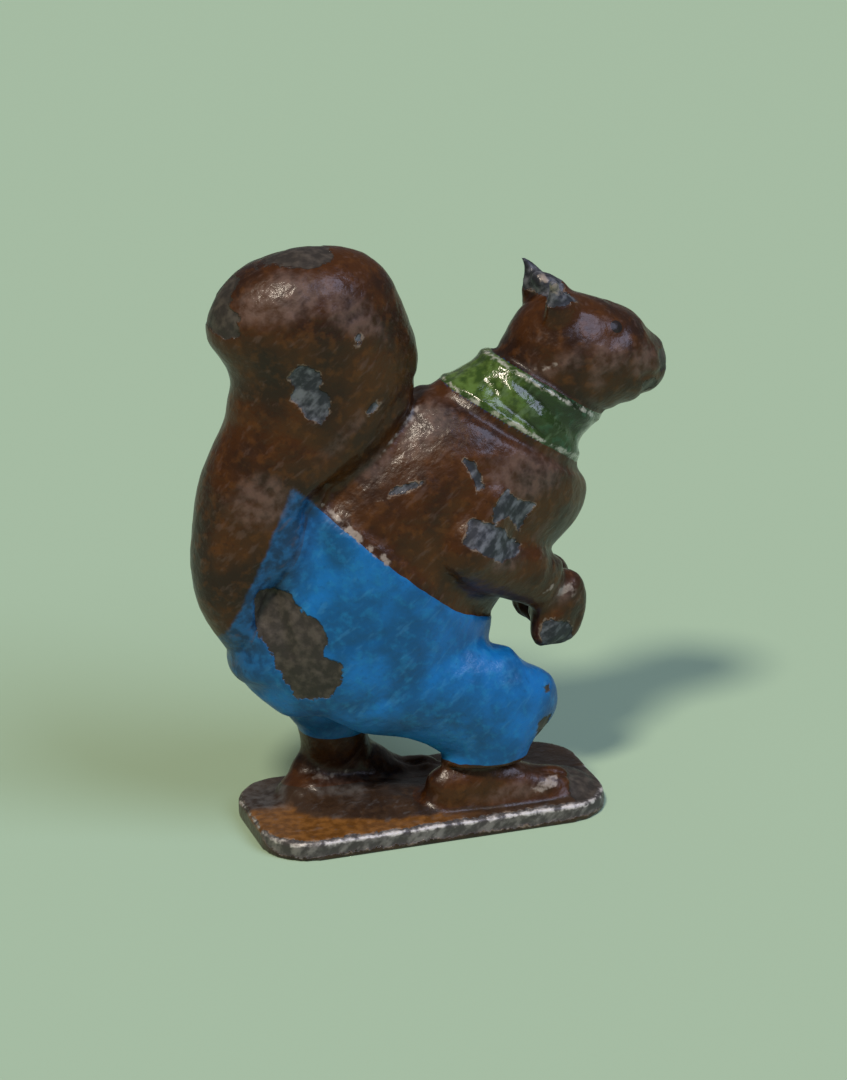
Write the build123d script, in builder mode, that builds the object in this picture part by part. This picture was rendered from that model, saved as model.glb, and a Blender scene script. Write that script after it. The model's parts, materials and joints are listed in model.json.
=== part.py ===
from build123d import *
from math import cos, radians, sin
import os

# Cast lead squirrel in trousers and a neckerchief, walking on a small slab.
# +X is the way it faces, +Y is its left side, +Z is up, and the origin is
# the middle of the slab's underside. All lengths are millimetres.

# Base slab
base_length = 22.9
base_width = 10.6
base_thickness = 1.3
base_corner_radius = 3.2
base_edge_round = 0.35

# Feet: the right one steps forward, the left one trails
foot_length = 10.1
foot_width = 3.0
foot_height = 3.7
ankle_height = 2.95
stride = 7.2
stance = 5.4
heels_back = 4.4

# Trousers
hip_height = 13.2
hip_back = 3.7
crotch_drop = 4.9
seat_length = 12.3
seat_depth = 16.5
seat_width = 10.4
right_leg_depth = 6.1
left_leg_depth = 4.4
leg_width = 4.8

# Torso, neck and the neckerchief round it
body_lean = 50
torso_length = 10.85
torso_depth = 15.2
torso_width = 9.8
neck_length = 3.14
neck_depth = 8.2
neck_width = 5.7
neckerchief_thickness = 0.45

# Head
head_length = 11.85
head_depth = 8.9
head_width = 6.8
ear_height = 3.6
worn_ear_height = 2.8
ear_depth = 2.5
ear_thickness = 1.3
eye_radius = 0.62
nose_radius = 0.7

# Arms, held forward with the paws together
upper_arm_length = 3.8
arm_depth = 4.0
arm_width = 3.0
paw_length = 4.3
paw_depth = 3.7
paw_width = 2.9

# Tail, brushed up behind the back
tail_height = 25.8
tail_breadth = 12.4
tail_thickness = 8.0

sides = [("right", -1), ("left", 1)]
down = -90

# Each oval is four arcs that meet where the outline runs at this angle
oval_turn = 45
# A rounded end closes through ovals at these turns of a quarter circle, down to a small flat
dome_turns = [34, 61, 79, 86]


def beside(point, along, across, lean):
    """The point that lies along and across a line leaning from +X in the figure's middle plane."""
    return (
        point[0] + along * cos(radians(lean)) - across * sin(radians(lean)),
        point[1],
        point[2] + along * sin(radians(lean)) + across * cos(radians(lean)),
    )


def oval_section(centre, lean, depth, width):
    """An oval face square to a line leaning from +X: depth in the middle plane, width along Y."""
    square_to_line = Plane(
        origin=centre,
        x_dir=(-sin(radians(lean)), 0, cos(radians(lean))),
        z_dir=(cos(radians(lean)), 0, sin(radians(lean))),
    )
    near_x, near_y = cos(radians(oval_turn)), sin(radians(oval_turn))
    end_x, end_y = depth / 2, width / 2
    end_radius = (end_x * (1 - near_y) - end_y * near_x) / (1 - near_x - near_y)
    join_x = end_x - end_radius * (1 - near_x)
    join_y = end_radius * near_y
    with BuildSketch(square_to_line) as section:
        with BuildLine():
            ThreePointArc((join_x, join_y), (0, end_y), (-join_x, join_y))
            ThreePointArc((-join_x, join_y), (-end_x, 0), (-join_x, -join_y))
            ThreePointArc((-join_x, -join_y), (0, -end_y), (join_x, -join_y))
            ThreePointArc((join_x, -join_y), (end_x, 0), (join_x, join_y))
        make_face()
    return section.sketch


def dome(centre, lean, depth, width, height):
    """Sections that close an oval end roundly, from beside the oval out to the tip."""
    sections = []
    for turn in dome_turns:
        out = beside(centre, height * sin(radians(turn)), 0, lean)
        shrink = cos(radians(turn))
        sections.append(oval_section(out, lean, depth * shrink, width * shrink))
    return sections


def seam(point, lean):
    """The plane square to the middle plane that holds a line leaning from +X through a point."""
    return Plane(origin=point, x_dir=(0, 1, 0), z_dir=(-sin(radians(lean)), 0, cos(radians(lean))))


# Places that the pieces share
base_top = base_thickness
cuff_level = base_top + ankle_height
hip = (-hip_back, 0, base_top + hip_height)
waist_along_share = 0.31
waist_across_share = 0.058
waist = beside(hip, waist_along_share * seat_length, waist_across_share * seat_depth, body_lean)
crotch_lean = 14
crotch_seam = seam(beside(hip, 0, -crotch_drop, 0), crotch_lean)
middle = Plane.XZ

# The tail grows from the corner behind the waistband, between the trousers' back and the spine
trouser_back_lean = 69
spine_lean = 30
tail_corner = beside(waist, 0, seat_depth / 2, body_lean)
trouser_back_seam = seam(tail_corner, trouser_back_lean)
spine_seam = seam(tail_corner, spine_lean)

collar_across_share = -0.086
collar = beside(waist, torso_length, collar_across_share * torso_depth, body_lean)
neck_lean = 45
neck_slant = 57
skull = beside(collar, neck_length, 0, neck_lean)

os.makedirs("parts", exist_ok=True)

# Base slab
with BuildPart() as base:
    with BuildSketch():
        RectangleRounded(base_length, base_width, base_corner_radius)
    extrude(amount=base_thickness)
    fillet(base.faces().sort_by(Axis.Z)[-1].edges(), radius=base_edge_round)
base.part.label = "base"
export_step(base.part, "parts/base.step")

# Trousers, seat: the rump up to the waistline, which slopes from the back down to the belly
seat_shares = [
    # along, across, depth, width
    (-0.69, 0.020, 0.34, 0.40),
    (-0.49, 0.000, 0.68, 0.77),
    (-0.29, -0.045, 0.94, 0.93),
    (-0.09, -0.055, 1.05, 0.99),
    (0.11, -0.010, 1.06, 1.00),
    (waist_along_share, waist_across_share, 1.00, 0.97),
]
seat_sections = []
for along, across, depth, width in seat_shares:
    centre = beside(hip, along * seat_length, across * seat_depth, body_lean)
    seat_sections.append(oval_section(centre, body_lean, depth * seat_depth, width * seat_width))
with BuildPart() as trousers_seat:
    loft(sections=seat_sections)
    split(bisect_by=crotch_seam, keep=Keep.TOP)
    split(bisect_by=trouser_back_seam, keep=Keep.BOTTOM)
trousers_seat.part.label = "trousers_seat"
export_step(trousers_seat.part, "parts/trousers_seat.step")

# Trouser legs: the right thigh reaches forward to a bent knee, the left leg drops straight
leg_shares = {
    # forward of the hip and up from the cuff, depth, width, lean
    "right": [
        (-0.33, 0.68, 0.42, 0.60, 12),
        (-0.27, 0.70, 0.85, 0.86, 6),
        (-0.21, 0.72, 1.05, 0.94, 0),
        (0.014, 0.68, 1.44, 1.00, -18),
        (0.19, 0.58, 1.38, 1.02, -30),
        (0.35, 0.44, 1.36, 1.02, -44),
        (0.475, 0.255, 1.40, 0.98, -62),
        (0.467, 0.11, 1.21, 0.92, -78),
        (0.43, 0.00, 1.00, 0.88, down),
    ],
    "left": [
        (-0.13, 0.61, 2.18, 1.00, down),
        (-0.115, 0.37, 1.59, 1.00, down),
        (-0.09, 0.17, 1.09, 0.94, down),
        (-0.08, 0.00, 0.98, 0.88, down),
    ],
}
leg_depths = {"right": right_leg_depth, "left": left_leg_depth}
legs = {}
for hand, side in sides:
    leg_sections = []
    for forward, rise, depth, width, lean in leg_shares[hand]:
        centre = (
            hip[0] + forward * seat_depth,
            side * stance / 2,
            cuff_level + rise * (hip[2] - cuff_level),
        )
        leg_sections.append(oval_section(centre, lean, depth * leg_depths[hand], width * leg_width))
    with BuildPart() as leg:
        loft(sections=leg_sections)
        split(bisect_by=crotch_seam, keep=Keep.BOTTOM)
        split(bisect_by=middle, keep=Keep.TOP if side < 0 else Keep.BOTTOM)
    legs[hand] = leg.part
    leg.part.label = f"{hand}_trouser_leg"
    export_step(leg.part, f"parts/{hand}_trouser_leg.step")

# Feet: long and low, running from the heel up to the ankle and down to the toes
foot_shares = [
    # from the heel, height of the middle, height, width
    (0.16, 0.30, 0.92, 0.84),
    (0.32, 0.38, 1.12, 0.94),
    (0.48, 0.28, 1.08, 0.98),
    (0.64, 0.18, 0.94, 1.00),
    (0.80, 0.10, 0.76, 1.00),
]
heel_round_share = 0.16
toe_round_share = 0.20
for hand, side in sides:
    heel_x = -heels_back - side * stride / 2
    foot_sections = []
    for reach, middle_rise, depth, width in foot_shares:
        centre = (heel_x + reach * foot_length, side * stance / 2, base_top + middle_rise * foot_height)
        size = (depth * foot_height, width * foot_width)
        if not foot_sections:
            foot_sections.extend(reversed(dome(centre, 0, *size, -heel_round_share * foot_length)))
        foot_sections.append(oval_section(centre, 0, *size))
    foot_sections.extend(dome(centre, 0, *size, toe_round_share * foot_length))
    with BuildPart() as foot:
        loft(sections=foot_sections)
        split(bisect_by=Plane.XY.offset(base_top), keep=Keep.TOP)
        split(bisect_by=Plane.XY.offset(cuff_level), keep=Keep.BOTTOM)
    foot.part.label = f"{hand}_foot"
    export_step(foot.part, f"parts/{hand}_foot.step")

# Torso: the barrel of the body from the waistline to the collar, and the neck on it
torso_shares = [
    # along, across, depth, width, lean
    (0.000, 0.000, 1.05, 0.98, body_lean),
    (0.280, -0.017, 1.01, 1.00, 52),
    (0.555, -0.067, 1.00, 1.00, 54),
    (0.750, -0.089, 0.96, 0.96, 56),
    (0.905, -0.089, 0.855, 0.86, neck_slant),
    (1.000, collar_across_share, 0.73, 0.72, neck_slant),
]
neck_shares = [
    # along, depth, width
    (0.0, 1.25, 1.12),
    (0.5, 1.09, 1.04),
    (1.0, 1.00, 1.00),
]
barrel_sections = []
for along, across, depth, width, lean in torso_shares:
    centre = beside(waist, along * torso_length, across * torso_depth, body_lean)
    barrel_sections.append(oval_section(centre, lean, depth * torso_depth, width * torso_width))
neck_sections = []
neckerchief_sections = []
for along, depth, width in neck_shares:
    centre = beside(collar, along * neck_length, 0, neck_lean)
    neck_sections.append(oval_section(centre, neck_slant, depth * neck_depth, width * neck_width))
    band_depth = depth * neck_depth + 2 * neckerchief_thickness
    band_width = width * neck_width + 2 * neckerchief_thickness
    neckerchief_sections.append(oval_section(centre, neck_slant, band_depth, band_width))
with BuildPart() as torso:
    loft(sections=barrel_sections)
    split(bisect_by=spine_seam, keep=Keep.BOTTOM)
    loft(sections=neck_sections)
torso.part.label = "torso"
export_step(torso.part, "parts/torso.step")

# Neckerchief: a plain band of cloth wound round the neck
with BuildPart() as neckerchief:
    loft(sections=neckerchief_sections)
    loft(sections=neck_sections, mode=Mode.SUBTRACT)
neckerchief.part.label = "neckerchief"
export_step(neckerchief.part, "parts/neckerchief.step")

# Head: turns from the top of the neck through the skull and cheeks into the muzzle
head_shares = [
    # forward, up, depth, width, lean
    (0.000, 0.000, 0.96, 0.93, neck_slant),
    (0.075, 0.085, 0.98, 0.97, 44),
    (0.154, 0.145, 1.00, 1.00, 30),
    (0.265, 0.155, 0.87, 0.99, 16),
    (0.366, 0.132, 0.735, 0.95, 4),
    (0.480, 0.088, 0.600, 0.77, -7),
    (0.568, 0.050, 0.430, 0.56, -14),
]
muzzle_round_share = 0.085
head_sections = []
for forward, rise, depth, width, lean in head_shares:
    centre = beside(skull, forward * head_length, rise * head_length, 0)
    head_sections.append(oval_section(centre, lean, depth * head_depth, width * head_width))
head_sections.extend(dome(centre, lean, depth * head_depth, width * head_width, muzzle_round_share * head_length))
with BuildPart() as head:
    loft(sections=head_sections)
head.part.label = "head"
export_step(head.part, "parts/head.step")

# Nose
nose_forward_share = 0.615
nose_up_share = 0.069
with BuildPart() as nose:
    with Locations(beside(skull, nose_forward_share * head_length, nose_up_share * head_length, 0)):
        Sphere(nose_radius)
    add(head.part, mode=Mode.SUBTRACT)
nose.part.label = "nose"
export_step(nose.part, "parts/nose.step")

# Eyes and ears: the left ear is whole, the right one is worn down
eye_forward_share = 0.29
eye_middle_share = 0.15
eye_up_share = 0.213
eye_out_share = 0.316
ear_forward_share = 0.029
ear_middle_share = 0.035
ear_up_share = 0.437
ear_out_share = 0.27
ear_lean = 108
ear_heights = {"right": worn_ear_height, "left": ear_height}
ear_shares = [
    # height, depth, thickness
    (0.00, 1.00, 1.00),
    (0.35, 0.92, 0.95),
    (0.70, 0.52, 0.70),
    (1.00, 0.12, 0.23),
]
for hand, side in sides:
    with BuildPart() as eye:
        eye_rise = eye_middle_share * head_length + eye_up_share * head_depth
        eye_centre = beside(skull, eye_forward_share * head_length, eye_rise, 0)
        with Locations((eye_centre[0], side * eye_out_share * head_width, eye_centre[2])):
            Sphere(eye_radius)
        add(head.part, mode=Mode.SUBTRACT)
    eye.part.label = f"{hand}_eye"
    export_step(eye.part, f"parts/{hand}_eye.step")

    ear_rise = ear_middle_share * head_length + ear_up_share * head_depth
    root = beside(skull, ear_forward_share * head_length, ear_rise, 0)
    ear_root = (root[0], side * ear_out_share * head_width, root[2])
    ear_sections = []
    for rise, depth, thickness in ear_shares:
        centre = beside(ear_root, rise * ear_heights[hand], 0, ear_lean)
        ear_sections.append(oval_section(centre, ear_lean, depth * ear_depth, thickness * ear_thickness))
    with BuildPart() as ear:
        loft(sections=ear_sections)
        add(head.part, mode=Mode.SUBTRACT)
    ear.part.label = f"{hand}_ear"
    export_step(ear.part, f"parts/{hand}_ear.step")

# Arms and paws: upper arm back along the ribs, forearm forward, paws hanging and meeting
shoulder_along_share = 0.60
shoulder_across_share = -0.075
shoulder_out_share = 0.42
elbow_out_share = 0.47
wrist_out_share = 0.21
upper_arm_lean = -115
forearm_lean = -30
forearm_reach_share = 0.487
forearm_length = forearm_reach_share * torso_depth
upper_arm_shares = [
    # along, depth, width
    (0.10, 0.80, 0.85),
    (0.60, 0.98, 1.00),
    (1.00, 1.00, 1.00),
]
arm_round_share = 0.40
forearm_shares = [
    # along, depth, width
    (0.00, 0.95, 1.00),
    (0.50, 1.02, 1.00),
    (1.00, 0.88, 0.92),
]
paw_out_share = 0.48
paw_shares = [
    # forward of the wrist, down from it, depth, width, lean
    (-0.16, -0.08, 0.84, 0.94, -36),
    (0.05, 0.12, 0.94, 0.98, -52),
    (0.19, 0.36, 0.98, 1.00, -74),
    (0.24, 0.62, 0.84, 0.94, -92),
]
paw_tip_share = 0.38
shoulder = beside(waist, shoulder_along_share * torso_length, shoulder_across_share * torso_depth, body_lean)
elbow = beside(shoulder, upper_arm_length, 0, upper_arm_lean)
wrist = beside(elbow, forearm_length, 0, forearm_lean)
for hand, side in sides:
    shoulder_out = side * shoulder_out_share * torso_width
    elbow_out = side * elbow_out_share * torso_width
    wrist_out = side * wrist_out_share * torso_width
    upper_sections = []
    for along, depth, width in upper_arm_shares:
        centre = beside(shoulder, along * upper_arm_length, 0, upper_arm_lean)
        centre = (centre[0], shoulder_out + along * (elbow_out - shoulder_out), centre[2])
        size = (depth * arm_depth, width * arm_width)
        if not upper_sections:
            upper_sections.extend(reversed(dome(centre, upper_arm_lean, *size, -arm_round_share * arm_depth)))
        upper_sections.append(oval_section(centre, upper_arm_lean, *size))
    upper_sections.extend(dome(centre, upper_arm_lean, *size, arm_round_share * arm_depth))
    forearm_sections = []
    for along, depth, width in forearm_shares:
        centre = beside(elbow, along * forearm_length, 0, forearm_lean)
        centre = (centre[0], elbow_out + along * (wrist_out - elbow_out), centre[2])
        forearm_sections.append(oval_section(centre, forearm_lean, depth * arm_depth, width * arm_width))
    with BuildPart() as arm:
        loft(sections=upper_sections)
        loft(sections=forearm_sections)
        add(torso.part, mode=Mode.SUBTRACT)
    arm.part.label = f"{hand}_arm"
    export_step(arm.part, f"parts/{hand}_arm.step")

    paw_sections = []
    for forward, drop, depth, width, lean in paw_shares:
        centre = (
            wrist[0] + forward * paw_length,
            side * paw_out_share * paw_width,
            wrist[2] - drop * paw_length,
        )
        size = (depth * paw_depth, width * paw_width)
        paw_sections.append(oval_section(centre, lean, *size))
    paw_sections.extend(dome(centre, lean, *size, paw_tip_share * paw_length))
    with BuildPart() as paw:
        loft(sections=paw_sections)
        split(bisect_by=middle, keep=Keep.TOP if side < 0 else Keep.BOTTOM)
        add(arm.part, mode=Mode.SUBTRACT)
    paw.part.label = f"{hand}_paw"
    export_step(paw.part, f"parts/{hand}_paw.step")

# Tail: rises beside the trousers' back, leans in along the spine and swells to a round brush
tail_back_share = 0.406
tail_drop_share = 0.145
tail_root = beside(hip, -tail_back_share * seat_depth, -tail_drop_share * seat_depth, 0)
tail_shares = [
    # forward, up, breadth, thickness, lean
    (-0.020, 0.035, 0.180, 0.36, 126),
    (-0.041, 0.076, 0.306, 0.50, 120),
    (-0.062, 0.159, 0.387, 0.62, 108),
    (-0.045, 0.244, 0.530, 0.74, 92),
    (-0.002, 0.328, 0.680, 0.84, 78),
    (0.045, 0.436, 0.774, 0.90, 80),
    (0.099, 0.512, 0.858, 0.94, 82),
    (0.151, 0.632, 0.925, 0.97, 88),
    (0.162, 0.694, 0.940, 0.98, 92),
    (0.142, 0.765, 0.970, 1.00, 94),
    (0.112, 0.830, 0.975, 1.00, 97),
]
brush_round_share = 0.167
wedge_reach = 2 * tail_height
tail_sections = []
for forward, rise, breadth, thickness, lean in tail_shares:
    centre = beside(tail_root, forward * tail_height, rise * tail_height, 0)
    tail_sections.append(oval_section(centre, lean, breadth * tail_breadth, thickness * tail_thickness))
tail_sections.extend(
    dome(centre, lean, breadth * tail_breadth, thickness * tail_thickness, brush_round_share * tail_height)
)
with BuildPart() as tail:
    loft(sections=tail_sections)
    with BuildSketch(middle):
        trouser_back = beside(tail_corner, -wedge_reach, 0, trouser_back_lean)
        spine = beside(tail_corner, wedge_reach, 0, spine_lean)
        with BuildLine():
            Polyline(
                (tail_corner[0], tail_corner[2]),
                (trouser_back[0], trouser_back[2]),
                (spine[0], trouser_back[2]),
                (spine[0], spine[2]),
                close=True,
            )
        make_face()
    extrude(amount=tail_thickness, both=True, mode=Mode.SUBTRACT)
tail.part.label = "tail"
export_step(tail.part, "parts/tail.step")
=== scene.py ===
import json
import math

import bmesh
import bpy
import numpy as np
from mathutils import Euler, Matrix, Vector, noise
from mathutils.bvhtree import BVHTree


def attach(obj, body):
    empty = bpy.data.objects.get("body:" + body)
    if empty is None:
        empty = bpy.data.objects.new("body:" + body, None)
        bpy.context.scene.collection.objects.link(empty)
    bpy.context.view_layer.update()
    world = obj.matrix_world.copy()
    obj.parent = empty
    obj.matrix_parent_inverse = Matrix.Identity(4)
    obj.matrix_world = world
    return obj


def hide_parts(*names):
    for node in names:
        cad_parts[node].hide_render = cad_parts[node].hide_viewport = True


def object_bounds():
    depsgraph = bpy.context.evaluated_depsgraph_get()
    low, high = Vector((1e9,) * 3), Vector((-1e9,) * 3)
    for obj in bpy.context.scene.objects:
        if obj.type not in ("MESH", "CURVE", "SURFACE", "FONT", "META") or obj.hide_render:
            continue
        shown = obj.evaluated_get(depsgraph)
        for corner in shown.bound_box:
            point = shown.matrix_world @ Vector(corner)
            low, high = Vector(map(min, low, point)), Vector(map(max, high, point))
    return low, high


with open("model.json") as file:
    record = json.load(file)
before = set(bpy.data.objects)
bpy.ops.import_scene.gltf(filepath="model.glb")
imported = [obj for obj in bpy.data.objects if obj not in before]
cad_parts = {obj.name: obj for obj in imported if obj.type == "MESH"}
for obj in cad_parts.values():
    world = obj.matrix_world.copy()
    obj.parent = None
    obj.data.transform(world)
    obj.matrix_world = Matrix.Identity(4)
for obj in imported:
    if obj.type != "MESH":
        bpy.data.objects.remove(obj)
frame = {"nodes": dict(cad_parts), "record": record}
cad_lowest, cad_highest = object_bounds()

# A squirrel cast in lead, brushed by hand with brown, blue and green enamel and worn with handling.
# The CAD solids and some added clay become one skin, which is softened, sculpted and parted again
# into painted pieces. Lengths are millimetres in the part's frame until a mesh goes back to metres:
# X is forward, Y to the figure's left and Z up. The photograph shows the figure's right side.
mm = 0.001
left_and_right = (1, -1)

# A guard against dividing by nothing, a distance past all that matters, and a reach without limit
tiny = 1e-12
far = 9.0
any_width = 99

# Spacing of the skin's points, fine enough for the chips and folds
clay_grain = 0.17

# Slab and the mound of ground on it
slab_top = 1.3
slab_half = np.array([11.45, 5.3])
slab_corner = 3.2
mound_reach = np.array([8.5, 3.9])

# Tops of the feet, and how high their brown reaches at each ankle
cuff_height = 4.25
cuffs = [("left_trouser_leg", "left_foot", 5.4), ("right_trouser_leg", "right_foot", 4.6)]

# Waistline: a leaning plane through a place on the middle, sagging on the flanks and rising at the belly
waist = np.array([-1.98, 0.0, 18.04])
waist_lean = math.radians(50)
waist_half_depth = 8.2
waist_sag_ends = 0.25
waist_sag_middle = 0.35
waist_belly = (3.5, 8.0)
waist_belly_rise = 0.5

# Crease between the trousers and the tail, and the width of the blue strip painted past it
tail_corner = np.array([-8.37, 0.0, 23.25])
trouser_back_lean = math.radians(69)
trouser_strip = 1.35

# Neckerchief: a place on its lower edge, the neck's slant, the band's height and the room it lies in
collar = np.array([5.82, 0.0, 25.51])
neck_slant = math.radians(57)
band_height = 3.07
neck_span = (0.4, 12.4)
neck_lowest = 20

# Ears: where they start, and the place and reach of both
ear_foot = 32.8
ears_at = ((7.4, 0, 34.8), (2.0, 4.0, 1.6))


def smooth_step(value, start, end):
    """0 before start, 1 after end, and a soft rise between them."""
    share = np.clip((value - start) / (end - start), 0, 1)
    return share * share * (3 - 2 * share)


def bell(offset, width):
    """1 where the offset is nothing, fading on both sides of it."""
    return np.exp(-(offset / width) ** 2)


def near(points, centre, reach):
    """1 at the centre, fading to nothing past the reach."""
    offset = (points - np.array(centre)) / np.array(reach)
    return np.exp(-(offset ** 2).sum(1))


def ripple(points, size, seed):
    """Smooth random heights between about -1 and 1, with bumps of that size."""
    shift = Vector((seed * 17.3, seed * 5.1, seed * 9.7))
    return np.array([noise.noise(Vector(p) / size + shift) for p in points.tolist()])


def bumps(points, layers):
    """Ripples laid on each other; each layer is its height, its bumps' size and its seed."""
    return sum(height * ripple(points, size, seed) for height, size, seed in layers)


def waist_level(points):
    """How far each point is above the waistline of the trousers."""
    offset = points - waist
    up = offset @ np.array([math.cos(waist_lean), 0, math.sin(waist_lean)])
    back = offset @ np.array([-math.sin(waist_lean), 0, math.cos(waist_lean)])
    middle = 1 - np.clip(np.abs(back) / waist_half_depth, 0, 1) ** 2
    belly = waist_belly_rise * smooth_step(-back, *waist_belly)
    return up + waist_sag_ends + waist_sag_middle * middle - belly


def back_level(points):
    """How far each point is behind the crease between the trousers and the tail, in the side view."""
    offset = points - tail_corner
    return offset @ np.array([-math.sin(trouser_back_lean), 0, math.cos(trouser_back_lean)])


def mound_level(points):
    """How far each point lies outside the mound's edge on the slab, about in millimetres."""
    share = np.hypot(points[:, 0] / mound_reach[0], points[:, 1] / mound_reach[1])
    return (share - 1) * mound_reach[1]


def neck_level(points):
    """How far each point is up the neck from the neckerchief's lower edge."""
    return (points - collar) @ np.array([math.cos(neck_slant), 0, math.sin(neck_slant)])


def away_from_line(points, start, end):
    """Each point's distance in the side view from the line between two places there."""
    run = np.array([end[0] - start[0], end[1] - start[1]])
    offset = points[:, [0, 2]] - np.array(start)
    share = np.clip(offset @ run / (run @ run), 0, 1)
    return np.linalg.norm(offset - share[:, None] * run, axis=1)


# Clay added to the solids: centre, reach along its own axes, and degrees that it rises forward
clay_both_sides = {
    "brow": ((10.6, 1.45, 31.75), (1.9, 1.1, 0.85), -32),
    "cheek": ((12.3, 1.7, 29.2), (2.1, 1.3, 1.7), -10),
    "forearm": ((4.4, 3.3, 17.6), (3.2, 1.5, 1.9), -30),
    "upper_arm": ((2.2, 4.2, 19.8), (1.9, 1.3, 2.4), -20),
    "paw": ((7.95, 2.0, 12.95), (1.3, 1.1, 1.6), 0),
    "muzzle": ((13.7, 1.5, 28.9), (1.5, 1.2, 1.7), 0),
    "back": ((-4.3, 2.0, 25.9), (3.9, 1.1, 0.9), 42),
}
clay_single = {
    "bridge_of_nose": ((13.2, 0.0, 30.2), (2.3, 1.6, 1.25), -36),
    "crown": ((8.7, 0.8, 33.55), (1.7, 1.0, 0.8), -38),
    "right_ear_root": ((8.8, -1.35, 33.1), (1.3, 0.8, 0.7), -40),
    "right_thigh": ((-0.6, -2.9, 10.3), (4.6, 2.2, 1.9), 14),
    "left_thigh": ((-5.6, 2.2, 8.4), (3.2, 2.4, 3.0), 60),
    "mound": ((0.0, -0.1, 1.3), (8.5, 3.9, 0.85), 0),
    "ground_at_left_foot": ((-4.8, 1.4, 1.3), (3.6, 2.9, 1.0), 0),
    "ground_at_right_foot": ((4.6, -2.4, 1.3), (3.9, 1.9, 0.8), 0),
    "ground_at_left_heel": ((-6.7, 2.0, 1.3), (2.3, 2.1, 1.5), 0),
    "ground_at_right_toes": ((8.2, -1.9, 1.3), (2.6, 2.5, 0.85), 0),
    "right_ear_knob": ((7.8, -1.95, 34.6), (0.42, 0.42, 0.42), 0),
    "left_ankle": ((-4.9, 2.7, 4.3), (2.2, 2.0, 1.6), 0),
    "tail_root": ((-10.4, 0.0, 12.2), (1.75, 3.0, 2.4), -65),
    "crease_at_tail_middle": ((-9.0, 0.0, 19.8), (1.1, 3.5, 3.9), -23),
    "crease_at_tail_foot": ((-10.6, 0.0, 13.6), (1.3, 3.0, 2.0), 0),
    "crease_at_tail_top": ((-7.8, 0.0, 22.9), (1.5, 3.1, 1.5), 0),
}


def pile_of_clay():
    """The CAD solids and the added clay in one mesh, in millimetres."""
    pile = bmesh.new()
    for solid in frame["nodes"].values():
        pile.from_mesh(solid.data)
    bmesh.ops.scale(pile, vec=Vector((1, 1, 1)) / mm, verts=pile.verts)
    lumps = list(clay_single.values())
    for (x, y, z), reach, lean in clay_both_sides.values():
        lumps += [((x, side * y, z), reach, lean) for side in left_and_right]
    for centre, reach, lean in lumps:
        turned = Euler((0, -math.radians(lean), 0)).to_matrix().to_4x4()
        place = Matrix.Translation(centre) @ turned @ Matrix.Diagonal((*reach, 1))
        bmesh.ops.create_icosphere(pile, subdivisions=4, radius=1, matrix=place)
    mesh = bpy.data.meshes.new("pile_of_clay")
    pile.to_mesh(mesh)
    pile.free()
    return mesh


def one_skin(mesh):
    """The mesh's outside as one even skin of small squares."""
    block = bpy.data.objects.new("clay_block", mesh)
    bpy.context.scene.collection.objects.link(block)
    skin = block.modifiers.new("skin", "REMESH")
    skin.mode = "VOXEL"
    skin.voxel_size = clay_grain
    shaped = block.evaluated_get(bpy.context.evaluated_depsgraph_get())
    made = bpy.data.meshes.new_from_object(shaped)
    bpy.data.objects.remove(block)
    return made


def read_skin(mesh):
    """The skin's points, squares and edges, without the bubbles that the joints leave inside."""
    points = np.zeros(len(mesh.vertices) * 3)
    mesh.vertices.foreach_get("co", points)
    points = points.reshape(-1, 3)
    corners = np.zeros(len(mesh.loops), int)
    mesh.loops.foreach_get("vertex_index", corners)
    squares = corners.reshape(-1, 4)
    group = np.arange(len(points))
    while True:
        lowest = group[squares].min(1)
        joined = group.copy()
        for corner in range(4):
            np.minimum.at(joined, squares[:, corner], lowest)
        joined = joined[joined]
        if (joined == group).all():
            break
        group = joined
    outside = np.bincount(group).argmax()
    squares = squares[group[squares[:, 0]] == outside]
    used, squares = np.unique(squares, return_inverse=True)
    squares = squares.reshape(-1, 4)
    edges = np.unique(np.sort(sides_of(squares), axis=1), axis=0)
    return points[used], squares, edges


def sides_of(squares):
    """The four sides of each square, as pairs of points."""
    return np.concatenate([squares[:, [k, (k + 1) % 4]] for k in range(4)])


def neighbours_mean(values, edges, count):
    """For each point, the mean of the values at the points that its edges lead to."""
    total = np.zeros((count,) + values.shape[1:])
    np.add.at(total, edges[:, 0], values[edges[:, 1]])
    np.add.at(total, edges[:, 1], values[edges[:, 0]])
    ties = np.maximum(np.bincount(edges.ravel(), minlength=count), 1)
    return total / (ties[:, None] if values.ndim > 1 else ties)


def soften(points, edges, weight, rounds):
    """Moves each point towards its neighbours, by its own weight."""
    for _ in range(rounds):
        points = points + weight[:, None] * (neighbours_mean(points, edges, len(points)) - points)
    return points


def spread(values, edges, rounds):
    """Values blurred over the skin."""
    for _ in range(rounds):
        values = (values + neighbours_mean(values, edges, len(values))) / 2
    return values


def outward(points, squares):
    """The skin's normals at its points."""
    across = points[squares[:, 2]] - points[squares[:, 0]]
    other = points[squares[:, 3]] - points[squares[:, 1]]
    facing = np.cross(across, other)
    total = np.zeros_like(points)
    for corner in range(4):
        np.add.at(total, squares[:, corner], facing)
    return total / np.maximum(np.linalg.norm(total, axis=1), tiny)[:, None]


def nearest_solid(places):
    """The name of the CAD solid nearest to each place."""
    corners, faces, owners = [], [], []
    for name, solid in sorted(frame["nodes"].items()):
        mesh = solid.data
        start = len(corners)
        corners += [v.co / mm for v in mesh.vertices]
        faces += [[start + v for v in p.vertices] for p in mesh.polygons]
        owners += [name] * len(mesh.polygons)
    tree = BVHTree.FromPolygons(corners, faces)
    return np.array([owners[tree.find_nearest(Vector(p))[2]] for p in places.tolist()])


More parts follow.
